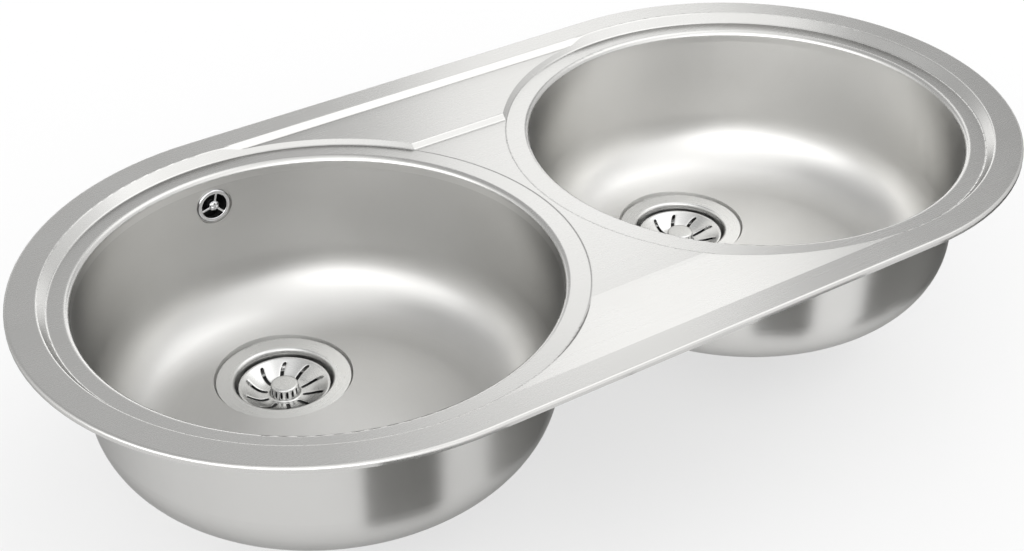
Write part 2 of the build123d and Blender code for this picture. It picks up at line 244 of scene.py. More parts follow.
def ring(levels):
    """Colour of a ring of screens at the bearing of each direction."""
    node = room.nodes.new("ShaderNodeValToRGB")
    node.color_ramp.interpolation = "EASE"
    stops = node.color_ramp.elements
    degrees = sorted(levels)
    for value in degrees[1:]:
        stops.new(value / 360)
    for stop, value in zip(stops, degrees + degrees[:1]):
        stop.color = (levels[value], levels[value], levels[value], 1)
    room.links.new(bearing, node.inputs["Fac"])
    return node.outputs["Color"]


def above(heights):
    """0 below the first of two heights, 1 above the second one, smooth between."""
    return range_node(room, raised, *heights, kind="SMOOTHSTEP")


screens = mix_node(room, above(strip_to_low), ring(strip_ring), ring(low_ring))
screens = mix_node(room, above(low_to_high), screens, ring(high_ring))
screens = mix_node(room, above(high_to_zenith), screens, (zenith_level, zenith_level, zenith_level))
room.links.new(screens, room.nodes["Background"].inputs["Color"])
print("world:", world.name, "with", len(room.nodes), "nodes")

# %% [markdown]
# The screens alone would leave no shadow. A wide soft lamp behind the sink is what the flat top mirrors
# towards the camera, and a second one overhead fills the bowls. Their powers are low, so that pale steel
# keeps its grey.

# %% Lamps
def soft_box(name, azimuth, elevation, distance, size, power):
    """Rectangular lamp that looks at the middle of the sink."""
    data = bpy.data.lights.new(name, "AREA")
    data.shape = "RECTANGLE"
    data.size, data.size_y = size
    data.energy = power
    lamp = bpy.data.objects.new(name, data)
    scene.collection.objects.link(lamp)
    turn = math.radians(azimuth)
    lift = math.radians(elevation)
    away = Vector((math.cos(turn) * math.cos(lift), math.sin(turn) * math.cos(lift), math.sin(lift)))
    lamp.location = away * distance
    lamp.rotation_euler = away.to_track_quat("Z", "Y").to_euler()


soft_box("back_lamp", azimuth=53, elevation=30, distance=2.6, size=(0.75, 1.0), power=2.0)
soft_box("top_lamp", azimuth=5, elevation=62, distance=2.2, size=(2.0, 1.6), power=5)

# %% [markdown]
# ## Floor
# The sink stands on plain white paper, with its lowest piece just touching. The paper glows a little for the
# camera and for what the steel reflects, so that it looks white. It doesn't glow for other rays, so it lights
# nothing and still takes a soft shadow.

# %% Paper floor
paper_size = 12
paper_white = 0.36
paper_glow = 0.55
dull_surface = 0.9


def new_material(name):
    """Material with its tree and its Principled shader."""
    material = bpy.data.materials.new(name)
    material.use_nodes = True
    return material, material.node_tree, material.node_tree.nodes["Principled BSDF"]


bpy.ops.mesh.primitive_plane_add(size=paper_size, location=(0, 0, cad_low.z))
paper = bpy.context.object
paper.name = "paper_floor"
paper_finish, paper_tree, paper_shader = new_material("paper")
feed(paper_tree, paper_shader.inputs["Base Color"], (paper_white, paper_white, paper_white))
feed(paper_tree, paper_shader.inputs["Roughness"], dull_surface)
feed(paper_tree, paper_shader.inputs["Specular IOR Level"], 0)
feed(paper_tree, paper_shader.inputs["Emission Color"], (1, 1, 1))
rays = paper_tree.nodes.new("ShaderNodeLightPath").outputs
glowing = math_node(paper_tree, "MAXIMUM", rays["Is Camera Ray"], rays["Is Glossy Ray"])
glowing = math_node(paper_tree, "MAXIMUM", glowing, rays["Is Transmission Ray"])
glow = math_node(paper_tree, "MULTIPLY", glowing, paper_glow)
feed(paper_tree, paper_shader.inputs["Emission Strength"], glow)
paper.data.materials.append(paper_finish)
print("floor at", round(cad_low.z, 4))

# %% [markdown]
# The walls under the rim lean over the paper and mirror only that, so on white paper they would be flat
# white. A photographer breaks such a wall up with cards: each stands close to the wall, just out of the
# picture, and is seen only as an upright dark band in the steel.

# %% Grey cards
card_top = -0.012
card_grey = (0.5, 0.5, 0.49)
card_lines = {
    "card_a": ((-0.285, -0.245), (-0.180, -0.245)),
    "card_b": ((-0.078, -0.245), (-0.010, -0.110)),
    "card_c": ((0.040, -0.245), (0.143, -0.245)),
    "card_d": ((0.226, -0.245), (0.330, -0.225)),
    "card_e": ((0.330, -0.225), (0.425, -0.090)),
}
card_finish, card_tree, card_shader = new_material("grey_card")
feed(card_tree, card_shader.inputs["Base Color"], card_grey)
feed(card_tree, card_shader.inputs["Roughness"], dull_surface)


def grey_card(name, line):
    """Upright card that only reflections show, standing on a line across the paper."""
    start, end = (Vector((*point, cad_low.z)) for point in line)
    sheet = bmesh.new()
    foot = sheet.edges.new([sheet.verts.new(start), sheet.verts.new(end)])
    grown = bmesh.ops.extrude_edge_only(sheet, edges=[foot])
    top = [item for item in grown["geom"] if isinstance(item, bmesh.types.BMVert)]
    bmesh.ops.translate(sheet, verts=top, vec=(0, 0, card_top - cad_low.z))
    mesh = bpy.data.meshes.new(name)
    sheet.to_mesh(mesh)
    sheet.free()
    card = bpy.data.objects.new(name, mesh)
    scene.collection.objects.link(card)
    mesh.materials.append(card_finish)
    card.visible_camera = False
    card.visible_diffuse = False
    card.visible_shadow = False


for card_name, card_line in card_lines.items():
    grey_card(card_name, card_line)
print("cards:", len(card_lines))

# %% [markdown]
# ## Shader groups
# Every steel piece is brushed, but along different lines: straight on the top, round the axis in a bowl.
# One group turns a piece's own coordinates into "round the axis, outward, up". A second one draws fine grain
# along whatever coordinates it is given. A third one adds the faint cloudiness that handling leaves, and a
# fourth one keeps the shading of turned pieces free of seams.

# %% Round the axis
VECTOR = "NodeSocketVector"
FLOAT = "NodeSocketFloat"


def new_group(name, inputs, outputs):
    """Empty shader node group; inputs map a name to (kind, default)."""
    group = bpy.data.node_groups.new(name, "ShaderNodeTree")
    for label, (kind, default) in inputs.items():
        socket = group.interface.new_socket(label, in_out="INPUT", socket_type=kind)
        if default is not None:
            socket.default_value = default
    for label, kind in outputs.items():
        group.interface.new_socket(label, in_out="OUTPUT", socket_type=kind)
    entry = group.nodes.new("NodeGroupInput")
    leave = group.nodes.new("NodeGroupOutput")
    return group, entry.outputs, leave.inputs


def vector_of(tree, *values):
    """Vector joined from three parts."""
    node = tree.nodes.new("ShaderNodeCombineXYZ")
    for socket, value in zip(node.inputs, values):
        feed(tree, socket, value)
    return node.outputs[0]


def square_sum(tree, first, second):
    """The sum of two squares."""
    return math_node(tree, "MULTIPLY_ADD", first, first, math_node(tree, "MULTIPLY", second, second))


around, given, result = new_group("round_the_axis", {"Vector": (VECTOR, None)}, {"Vector": VECTOR})
x, y, z = parts_of(around, given["Vector"])
angle = math_node(around, "ARCTAN2", y, x)
outward = math_node(around, "SQRT", square_sum(around, x, y))
feed(around, result["Vector"], vector_of(around, angle, outward, z))
print("group:", around.name)

# %% [markdown]
# Grain is noise that is stretched along the brushing. Coarse and fine lines are added, because an abrasive
# belt leaves both. The group gives a mask for the roughness and a height for the bump, each with its own
# strength. Noise keeps near its middle, so a narrow range of it is spread over the whole range of roughness.

# %% Brushed grain
COARSE_SCALE = 0.23
NOISE_LOW = 0.32
NOISE_HIGH = 0.68


def vector_node(tree, operation, first, second=None, scale=None):
    """Vector math node; the dot product comes out as a value, the rest as a vector."""
    node = tree.nodes.new("ShaderNodeVectorMath")
    node.operation = operation
    feed(tree, node.inputs[0], first)
    if second is not None:
        feed(tree, node.inputs[1], second)
    if scale is not None:
        feed(tree, node.inputs["Scale"], scale)
    return node.outputs["Value" if operation == "DOT_PRODUCT" else "Vector"]


def noise_node(tree, vector, scale, detail, roughness, distortion=0.0):
    """Noise texture."""
    node = tree.nodes.new("ShaderNodeTexNoise")
    looks = {"Scale": scale, "Detail": detail, "Roughness": roughness, "Distortion": distortion}
    for label, value in {"Vector": vector, **looks}.items():
        feed(tree, node.inputs[label], value)
    return node.outputs["Fac"]


grain, given, result = new_group(
    "brushed_grain",
    {"Vector": (VECTOR, None), "Stretch": (VECTOR, (1, 1, 1)), "Low": (FLOAT, 0.25), "High": (FLOAT, 0.35)},
    {"Roughness": FLOAT, "Height": FLOAT},
)
stretched = vector_node(grain, "MULTIPLY", given["Vector"], given["Stretch"])
fine = noise_node(grain, stretched, scale=1.0, detail=3, roughness=0.6)
coarse = noise_node(grain, stretched, scale=COARSE_SCALE, detail=2, roughness=0.5)
both = math_node(grain, "MULTIPLY", math_node(grain, "ADD", fine, coarse), 0.5)
feed(grain, result["Roughness"], range_node(grain, both, NOISE_LOW, NOISE_HIGH, given["Low"], given["High"]))
feed(grain, result["Height"], both)
print("group:", grain.name)

# %% [markdown]
# Hands and cloths leave soft clouds on steel and plastic alike. Noise with large features makes them: a small
# change of the roughness, and a tint that each material uses to go from its darker tone to its lighter one.

# %% Handling marks
clouds, given, result = new_group(
    "handling_marks",
    {"Vector": (VECTOR, None), "Scale": (FLOAT, 9.0), "Amount": (FLOAT, 0.04)},
    {"Roughness": FLOAT, "Tint": FLOAT},
)
soft = noise_node(clouds, given["Vector"], given["Scale"], detail=4, roughness=0.55, distortion=0.6)
centred = math_node(clouds, "SUBTRACT", soft, 0.5)
feed(clouds, result["Roughness"], math_node(clouds, "MULTIPLY", centred, given["Amount"]))
feed(clouds, result["Tint"], soft)
print("group:", clouds.name)

# %% [markdown]
# A turned piece never leans sideways: its surface faces the axis, away from it, up or down. The triangles of
# the frame lean a little where a turn begins and ends, which steel would show as a seam. So the sideways part
# of the shading direction is taken out, as far as Share says.

# %% Turned normal
upright, given, result = new_group(
    "turned_normal", {"Vector": (VECTOR, None), "Share": (FLOAT, 1.0)}, {"Normal": VECTOR}
)
shaded = upright.nodes.new("ShaderNodeNewGeometry").outputs["Normal"]
x, y, _ = parts_of(upright, given["Vector"])
sideways = vector_of(upright, math_node(upright, "MULTIPLY", y, -1.0), x, 0.0)
sideways = vector_node(upright, "NORMALIZE", sideways)
lean = math_node(upright, "MULTIPLY", vector_node(upright, "DOT_PRODUCT", shaded, sideways), given["Share"])
straight = vector_node(upright, "SUBTRACT", shaded, vector_node(upright, "SCALE", sideways, scale=lean))
feed(upright, result["Normal"], vector_node(upright, "NORMALIZE", straight))
print("group:", upright.name)

# %% [markdown]
# ## Brushed steel
# Steel is a metal, so Metallic is 1 and the base colour is what it mirrors: a slightly warm grey. The grain
# makes it mirror blurred. Round the bowls and the cups the blur is longer across the brushing than along it,
# which is what draws upright streaks on their walls; a Tangent node gives the direction and Anisotropic
# the strength. Base colour, roughness and bump all change a little over the surface.

# %% Steel function
GRAIN_LINES = (6, 3000, 3000)
GRAIN_DEPTH = 0.000001
GRAIN_STRENGTH = 0.5
QUARTER_TURN = 0.25
EDGE_GREY = (0.45, 0.45, 0.45)


def object_place(tree):
    """Object coordinates in a material. Nothing here is moved, so they are those of the sink."""
    return tree.nodes.new("ShaderNodeTexCoord").outputs["Object"]


def add_group(tree, group, **values):
    """Outputs of a group node in a material; a value is a socket to link or a default to set."""
    node = tree.nodes.new("ShaderNodeGroup")
    node.node_tree = group
    for label, value in values.items():
        feed(tree, node.inputs[label], value)
    return node.outputs


def centred_on(tree, place, axis):
    """Coordinates with an upright axis in their middle."""
    centring = tree.nodes.new("ShaderNodeMapping")
    centring.vector_type = "POINT"
    feed(tree, centring.inputs["Vector"], place)
    feed(tree, centring.inputs["Location"], (-axis.x, -axis.y, 0))
    return centring.outputs["Vector"]


def brushed_steel(name, dark, light, rough, turned_about=None, streaks=0.0, straightened=None):
    """Steel with grain along X, or round an upright axis where one is given.

    Straightened is the share of the turned normal: a number, or a function that adds the nodes for it.
    """
    material, tree, shader = new_material(name)
    place = vector = object_place(tree)
    relief = tree.nodes.new("ShaderNodeBump")
    if turned_about:
        from_axis = centred_on(tree, place, turned_about)
        vector = add_group(tree, around, Vector=from_axis)["Vector"]
        if straightened:
            share = straightened(tree, vector) if callable(straightened) else straightened
            normal = add_group(tree, upright, Vector=from_axis, Share=share)["Normal"]
            feed(tree, relief.inputs["Normal"], normal)
    if streaks:
        tangent = tree.nodes.new("ShaderNodeTangent")
        tangent.direction_type = "RADIAL"
        tangent.axis = "Z"
        feed(tree, shader.inputs["Tangent"], tangent.outputs[0])
    brushing = add_group(tree, grain, Vector=vector, Stretch=GRAIN_LINES, Low=rough[0], High=rough[1])
    marks = add_group(tree, clouds, Vector=place)
    total = math_node(tree, "ADD", brushing["Roughness"], marks["Roughness"])
    feed(tree, shader.inputs["Roughness"], total)
    feed(tree, shader.inputs["Base Color"], mix_node(tree, marks["Tint"], dark, light))
    feed(tree, relief.inputs["Strength"], GRAIN_STRENGTH)
    feed(tree, relief.inputs["Distance"], GRAIN_DEPTH)
    feed(tree, relief.inputs["Height"], brushing["Height"])
    feed(tree, shader.inputs["Normal"], relief.outputs["Normal"])
    shader.inputs["Metallic"].default_value = 1
    shader.inputs["Anisotropic"].default_value = streaks
    shader.inputs["Anisotropic Rotation"].default_value = QUARTER_TURN
    feed(tree, shader.inputs["Specular Tint"], EDGE_GREY)
    return material


print("grain lines to a metre:", GRAIN_LINES)

# %% [markdown]
# A drawn bowl is turned except for the stamped recess and the overflow seat, so only its seam, at the side
# that faces +X, is straightened. A cup is turned all over. A basket has slots cut through it, so its shading
# stays as it is, and the streaks of a wall would look wrong on it.

# %% Steel finishes
SEAM_HALF_ANGLE = 0.052
SEAM_INNER_RADIUS = 0.15
STEEL_DARK = (0.575, 0.57, 0.555)
STEEL_LIGHT = (0.635, 0.632, 0.62)
CUP_TONES = ((0.67, 0.67, 0.66), (0.73, 0.73, 0.72))
# The right bowl is painted paler than the left one: painted light, as it stands nearer the brighter screens.
BOWL_PAINTED_LIGHT = {"left": 1.0, "right": 1.15}
BOWL_ROUGH = (0.285, 0.335)
CUP_ROUGH = (0.26, 0.31)
BASKET_ROUGH = (0.24, 0.29)
BOWL_STREAKS = 0.6
CUP_STREAKS = 0.5
STEELS = {
    "rim_steel": (STEEL_DARK, STEEL_LIGHT, (0.262, 0.280)),
    "lug_steel": ((0.5, 0.5, 0.5), (0.58, 0.58, 0.58), (0.3, 0.42)),
    "screw_steel": ((0.6, 0.6, 0.6), (0.68, 0.68, 0.68), (0.18, 0.26)),
    "overflow_chrome": ((0.68, 0.68, 0.69), (0.74, 0.74, 0.75), (0.08, 0.12)),
    "brass_insert": ((0.66, 0.46, 0.2), (0.74, 0.54, 0.27), (0.25, 0.36)),
}


def bowl_seam(tree, turned_place):
    """1 on the strip of a bowl where its turn begins and ends, 0 elsewhere."""
    turn, distance, _ = parts_of(tree, turned_place)
    near = math_node(tree, "LESS_THAN", math_node(tree, "ABSOLUTE", turn), SEAM_HALF_ANGLE)
    outside = math_node(tree, "GREATER_THAN", distance, SEAM_INNER_RADIUS)
    return math_node(tree, "MULTIPLY", near, outside)


def paler(tone, times):
    """Colour with each of its parts multiplied."""
    return tuple(times * value for value in tone)


finish = {name: brushed_steel(name, *look) for name, look in STEELS.items()}
side_finish = {}
for side in SIDES:
    # Painted light: the right bowl's tones are multiplied up, so that it reads paler than the left one.
    tones = [paler(tone, BOWL_PAINTED_LIGHT[side]) for tone in (STEEL_DARK, STEEL_LIGHT)]
    bowl = brushed_steel(side + "_bowl_steel", *tones, BOWL_ROUGH, bowl_axis[side], BOWL_STREAKS, bowl_seam)
    cup = brushed_steel(side + "_waste_steel", *CUP_TONES, CUP_ROUGH, waste_axis[side], CUP_STREAKS, 1.0)
    basket = brushed_steel(side + "_basket_steel", *CUP_TONES, BASKET_ROUGH, waste_axis[side])
    side_finish[side] = {"bowl_steel": bowl, "waste_steel": cup, "basket_steel": basket}
print("steel finishes:", len(finish) + sum(len(own) for own in side_finish.values()))

# %% [markdown]
# The floor of a bowl is ground flat with a coarser grit than the walls, and it wears with use, so it is
# duller. Its tone is also painted paler: this is painted light, where the floor faces the light from above.
# The grinding runs round the waste, and it fades out where the floor turns up into the wall.

# %% Coarser floors, with painted light
BOWL_DEPTH = 0.1452
FLOOR_ROUGHER = 0.22
FLOOR_PAINTED_LIGHT = 0.08
FLOOR_FADE = 0.012
floor_level = cad_high.z - BOWL_DEPTH


def feeding(socket):
    """Socket that feeds another one."""
    return socket.links[0].from_socket


def coarser_floor(material, drain):
    """Make a bowl's floor rougher, paint it paler as painted light, and turn its brushing about the drain."""
    tree = material.node_tree
    inputs = tree.nodes["Principled BSDF"].inputs
    x, y, z = parts_of(tree, object_place(tree))
    low = range_node(tree, z, floor_level + FLOOR_FADE, floor_level, kind="SMOOTHSTEP")
    rougher = math_node(tree, "MULTIPLY_ADD", low, FLOOR_ROUGHER, feeding(inputs["Roughness"]))
    feed(tree, inputs["Roughness"], rougher)
    # Painted light: the floor's tone is made paler where it faces the light from above.
    share = math_node(tree, "MULTIPLY_ADD", low, FLOOR_PAINTED_LIGHT, 1.0)
    pale = vector_node(tree, "SCALE", feeding(inputs["Base Color"]), scale=share)
    feed(tree, inputs["Base Color"], pale)
    across = math_node(tree, "SUBTRACT", drain.y, y)
    along = math_node(tree, "SUBTRACT", x, drain.x)
    about_drain = vector_node(tree, "NORMALIZE", vector_of(tree, across, along, 0.0))
    turned = mix_node(tree, low, feeding(inputs["Tangent"]), about_drain, "VECTOR")
    feed(tree, inputs["Tangent"], turned)


for side in SIDES:
    coarser_floor(side_finish[side]["bowl_steel"], waste_axis[side])
print("floors at", round(floor_level, 4))

# %% [markdown]
# ## Bends of the pressed top
# The lips round the mouths and the step of the rim are bends of a few millimetres, and they are the brightest
# lines in the picture. A highlight on such a narrow bend shows every fault of the triangles under it. The
# bends are simple: each is turned about a bowl or about a rounded end of the rim, so the way its surface
# leans follows from where a point lies in the section. The two ends mirror each other, so one half is enough.

# %% Section of the bends
MOUTH_RADIUS = 0.1825
LIP_RADIUS = 0.005
WALL_DRAFT = math.radians(2.4)
SURROUND_DROP = 0.0083
RIM_LEDGE = 0.0235
STEP_RUN = 0.0055
STEP_TOLERANCE = 0.0005
BEND_RADIUS = 0.0025
STEP_LEAN = math.radians(46)
bowl_centre = bowl_axis["right"].x
half_length = (cad_high.x - cad_low.x) / 2
half_width = (cad_high.y - cad_low.y) / 2
end_centre = half_length - half_width
surround_level = cad_high.z - SURROUND_DROP
lip_centre = MOUTH_RADIUS + LIP_RADIUS * math.tan((math.pi / 2 - WALL_DRAFT) / 2)
step_slope = math.atan2(SURROUND_DROP, STEP_RUN)
step_foot = half_width - RIM_LEDGE - STEP_RUN
bend_reach = BEND_RADIUS * math.tan(step_slope / 2)
print("step from", round(step_foot, 4), "to", round(step_foot + STEP_RUN, 4), "about", round(end_centre, 4))


# %% Lean towards an axis
def between(tree, value, low, high):
    """Value kept between two numbers."""
    return math_node(tree, "MAXIMUM", math_node(tree, "MINIMUM", value, high), low)


def distance_to(tree, place, centre):
    """Mirrored offset along X and distance to the nearer of the axes at plus and minus the centre."""
    x, y, _ = parts_of(tree, place)
    offset = math_node(tree, "SUBTRACT", math_node(tree, "ABSOLUTE", x), centre)
    return offset, math_node(tree, "SQRT", square_sum(tree, offset, y))


def leaning_in(tree, place, centre, sine):
    """Direction that leans towards the nearer axis; the sine of its angle to the upright is given."""
    x, y, _ = parts_of(tree, place)
    offset, distance = distance_to(tree, place, centre)
    share = math_node(tree, "DIVIDE", math_node(tree, "MULTIPLY", sine, -1.0), distance)
    lean_x = math_node(tree, "MULTIPLY", offset, share)
    lean_x = math_node(tree, "MULTIPLY", lean_x, math_node(tree, "SIGN", x))
    lean_y = math_node(tree, "MULTIPLY", y, share)
    upward = math_node(tree, "SUBTRACT", 1.0, math_node(tree, "MULTIPLY", sine, sine))
    return vector_of(tree, lean_x, lean_y, math_node(tree, "SQRT", upward))


def put_normal(tree, normal, better, mask):
    """Normal replaced by a better one where the mask says so, on the side that faces the same way."""
    same_side = math_node(tree, "GREATER_THAN", vector_node(tree, "DOT_PRODUCT", normal, better), 0.0)
    return mix_node(tree, math_node(tree, "MULTIPLY", mask, same_side), normal, better, "VECTOR")


print("bowls at plus and minus", round(bowl_centre, 4))

# %% [markdown]
# On the lip the direction runs from the centre of the bend to the point. On the step it follows from the
# distance alone, and it leans less than the section does, as the step of the real sink mirrors more softly.

# %% Smooth bends
def lip_normal(tree, place, normal):
    """Normal with the true lean on the lips round the mouths."""
    _, to_bowl = distance_to(tree, place, bowl_centre)
    inward = math_node(tree, "SUBTRACT", lip_centre, to_bowl)
    upward = math_node(tree, "SUBTRACT", parts_of(tree, place)[2], surround_level - LIP_RADIUS)
    upward = math_node(tree, "MAXIMUM", upward, LIP_RADIUS * math.sin(WALL_DRAFT))
    sine = math_node(tree, "DIVIDE", inward, math_node(tree, "SQRT", square_sum(tree, inward, upward)))
    lip = leaning_in(tree, place, bowl_centre, between(tree, sine, 0.0, math.cos(WALL_DRAFT)))
    return put_normal(tree, normal, lip, math_node(tree, "LESS_THAN", to_bowl, lip_centre))


def step_normal(tree, place, normal):
    """Normal with the lean of the step all round the rim's ends."""
    _, to_end = distance_to(tree, place, end_centre)
    from_foot = math_node(tree, "SUBTRACT", to_end, step_foot - bend_reach)
    from_top = math_node(tree, "SUBTRACT", step_foot + STEP_RUN + bend_reach, to_end)
    sine = math_node(tree, "DIVIDE", math_node(tree, "MINIMUM", from_foot, from_top), BEND_RADIUS)
    sine = between(tree, sine, 0.0, math.sin(STEP_LEAN))
    along = math_node(tree, "SUBTRACT", to_end, step_foot)
    rise = between(tree, math_node(tree, "MULTIPLY", along, math.tan(step_slope)), 0.0, SURROUND_DROP)
    level = math_node(tree, "ADD", rise, surround_level)
    on_step = math_node(tree, "COMPARE", parts_of(tree, place)[2], level, STEP_TOLERANCE)
    mask = math_node(tree, "MULTIPLY", on_step, math_node(tree, "GREATER_THAN", sine, 0.0))
    return put_normal(tree, normal, leaning_in(tree, place, end_centre, sine), mask)


def smooth_bends(material):
    """Feed the true lean of lips and steps to the bump node of the pressed top's steel."""
    tree = material.node_tree
    place = object_place(tree)
    normal = tree.nodes.new("ShaderNodeNewGeometry").outputs["Normal"]
    normal = step_normal(tree, place, lip_normal(tree, place, normal))
    feed(tree, tree.nodes["Bump"].inputs["Normal"], normal)


smooth_bends(finish["rim_steel"])
print("bends smoothed on", finish["rim_steel"].name)

# %% [markdown]
# Below each lip the pressed top ends in a short collar, and the drawn bowl is welded to it. On the real sink
# that weld is ground away, so collar and bowl read as one wall. The collar belongs to the top here, so its
# steel turns into the bowl's finish below the lip: a little rougher and paler.

# %% Blend the collar into the bowl
COLLAR_ROUGHER = 0.045
COLLAR_PALER = 1.10
collar_start = surround_level - LIP_RADIUS / 2


def blend_collar(material):
    """Give the top's steel the bowl's roughness and tone on the collars."""
    tree = material.node_tree
    inputs = tree.nodes["Principled BSDF"].inputs
    place = object_place(tree)
    below = range_node(tree, parts_of(tree, place)[2], collar_start, surround_level - LIP_RADIUS)
    _, to_bowl = distance_to(tree, place, bowl_centre)
    collar = math_node(tree, "MULTIPLY", below, math_node(tree, "LESS_THAN", to_bowl, lip_centre))
    rougher = math_node(tree, "MULTIPLY_ADD", collar, COLLAR_ROUGHER, feeding(inputs["Roughness"]))
    feed(tree, inputs["Roughness"], rougher)
    pale = paler(STEEL_LIGHT, COLLAR_PALER)
    feed(tree, inputs["Base Color"], mix_node(tree, collar, feeding(inputs["Base Color"]), pale))


blend_collar(finish["rim_steel"])
print("collars blended below", round(collar_start, 4))

# %% [markdown]
# ## Plastic and rubber
# The waste body, the overflow chamber and the basket stem are moulded plastic with a fine spark-eroded
# texture. The gaskets are black rubber, duller still, and the strip under the rim and the pads under the
# bowls are soft foam and bitumen felt, with an open, uneven surface. Each row of the table gives a dark and
# a light tone, the range of roughness, how many pores there are to a metre, and how deep they are.

# %% Dull finishes
DULL_FINISHES = {
    "black_plastic": ((0.012, 0.012, 0.013), (0.022, 0.022, 0.023), (0.4, 0.55), 900, 0.00005),
    "stem_plastic": ((0.05, 0.05, 0.052), (0.075, 0.075, 0.078), (0.38, 0.5), 900, 0.00004),
    "black_rubber": ((0.014, 0.014, 0.014), (0.026, 0.026, 0.026), (0.55, 0.7), 700, 0.00006),
    "foam_seal": ((0.07, 0.07, 0.072), (0.12, 0.12, 0.122), (0.8, 0.95), 450, 0.0002),
    "damping_pad": ((0.035, 0.035, 0.037), (0.065, 0.065, 0.067), (0.7, 0.85), 300, 0.0002),
}
MARKS_SCALE = 30.0
MARKS_AMOUNT = 0.1
PORE_STRENGTH = 0.6


def moulded(name, dark, light, rough, scale, depth):
    """Dull non-metal with a fine uneven surface."""
    material, tree, shader = new_material(name)
    place = object_place(tree)
    pores = add_group(tree, grain, Vector=place, Stretch=(scale, scale, scale), Low=rough[0], High=rough[1])
    marks = add_group(tree, clouds, Vector=place, Scale=MARKS_SCALE, Amount=MARKS_AMOUNT)
    feed(tree, shader.inputs["Roughness"], math_node(tree, "ADD", pores["Roughness"], marks["Roughness"]))
    feed(tree, shader.inputs["Base Color"], mix_node(tree, marks["Tint"], dark, light))
    relief = tree.nodes.new("ShaderNodeBump")
    feed(tree, relief.inputs["Strength"], PORE_STRENGTH)
    feed(tree, relief.inputs["Distance"], depth)
    feed(tree, relief.inputs["Height"], pores["Height"])
    feed(tree, shader.inputs["Normal"], relief.outputs["Normal"])
    return material


for dull_name, look in DULL_FINISHES.items():
    finish[dull_name] = moulded(dull_name, *look)
print("finishes:", sorted(finish))

# %% [markdown]
# The record of the construction model names a finish for every node. Bowls, cups and baskets have a finish
# for each side, because their grain runs round an axis of their own, so the side in a node's name is tried
# first.

# %% Dress the nodes
for subpart in frame["record"]["subparts"]:
    name = subpart["node"]
    slot = subpart["material_slot"]
    own = side_finish.get(name.split("_")[0], {})
    for material_slot in nodes[name].material_slots:
        material_slot.material = own.get(slot) or finish[slot]

# %% [markdown]
# ## Basket strainers
# A basket is one disc of thin pressed steel: a dish with ten curved slots round a raised hub, and fifteen
# upright windows in the hub's wall. Cutting the slots out of a finished dish would leave ragged edges. So the
# disc is laid out flat first, as a grid: a row for each ring of the dish, and columns for slots and bars. The
# faces of the slots are deleted, the grid is bent round into the dish, and thickness and smoothing come last.
# Every slot then has the same soft edge, which is what tumbling leaves on the real one.

# %% Section of a basket
HUB_HEIGHT = 0.0103
HUB_RADIUS = 0.0123
HUB_TAPER = 0.0011
DISH_FLOOR_RADIUS = 0.020
DISH_BLEND = 0.018
DISH_RISE = 0.009
DISH_EDGE_RADIUS = 0.036
dish_slope = math.atan2(DISH_RISE, DISH_EDGE_RADIUS - DISH_FLOOR_RADIUS)
dish_start = DISH_FLOOR_RADIUS - DISH_BLEND * math.tan(dish_slope / 2)
print("dish slopes by", round(math.degrees(dish_slope), 1), "degrees")


def hub_wall(height):
    """Ring of the hub's wall at a height above the floor of the basket."""
    return HUB_RADIUS - HUB_TAPER * height / HUB_HEIGHT, height


def dish_height(radius):
    """Height of the dish above its floor: flat, then an arc, then a straight slope."""
    sine = (radius - dish_start) / DISH_BLEND
    if sine <= 0:
        return 0.0
    if sine < math.sin(dish_slope):
        return DISH_BLEND * (1 - math.sqrt(1 - sine * sine))
    return DISH_RISE - (DISH_EDGE_RADIUS - radius) * math.tan(dish_slope)


# %% [markdown]
# The rings are listed from the middle outwards: the cap of the hub, its wall, the root where it meets the
# dish, the slotted part of the dish, and the flat edge.

# %% Rings of a basket
CAP_SECTION = ((0.0, 0.0), (0.0045, 0.0), (0.0085, 0.0), (0.0103, 0.0002))
WALL_END = 0.001
WINDOW_FOOT = 0.0024
WINDOW_HEAD = 0.0084
ROOT_OUT = 0.0008
ROOT_UP = 0.0001
SLOT_INNER = 0.0146
SLOT_OUTER = 0.0330
SLOT_ROWS = 6
SLOPE_RADII = (0.0342, 0.0355)
EDGE_RADII = (0.0365, 0.0376)

slot_radii = [SLOT_INNER + (SLOT_OUTER - SLOT_INNER) * step / SLOT_ROWS for step in range(SLOT_ROWS + 1)]
cap_rings = [(radius, HUB_HEIGHT - drop) for radius, drop in CAP_SECTION]
wall_rings = [hub_wall(height) for height in (HUB_HEIGHT - WALL_END, WINDOW_HEAD, WINDOW_FOOT, WALL_END)]
root_ring = [(HUB_RADIUS + ROOT_OUT, ROOT_UP)]
dish_rings = [(radius, dish_height(radius)) for radius in (*slot_radii, *SLOPE_RADII)]
edge_rings = [(radius, DISH_RISE) for radius in EDGE_RADII]
basket_rings = cap_rings + wall_rings + root_ring + dish_rings + edge_rings
window_row = len(cap_rings) + 1
slot_row = len(cap_rings) + len(wall_rings) + len(root_ring)
print("rings:", len(basket_rings), "window row", window_row, "first slot row", slot_row)

# %% [markdown]
# Ten slots and fifteen windows share one grid if its columns can be counted off in sixes and in fours. Sixty
# columns do both. Each ring then spaces its columns in its own way: evenly, or with a slot of constant width
# in every six, or with a window in every four.

# %% Columns of a basket
COLUMNS = 60
SLOTS = 10
SLOT_COLUMNS = COLUMNS // SLOTS
SLOT_HALF_WIDTH = 0.0014
SLOT_PHASE = math.radians(29)
SLOT_LEAN = math.radians(8)
SLOT_BOW = 0.0014
WINDOWS = 15
WINDOW_COLUMNS = COLUMNS // WINDOWS
WINDOW_HALF_WIDTH = 0.00095
WINDOW_SHIFT = 1.5
EVEN_SHIFT = math.radians(-3)
print("columns to a slot:", SLOT_COLUMNS, "to a window:", WINDOW_COLUMNS)


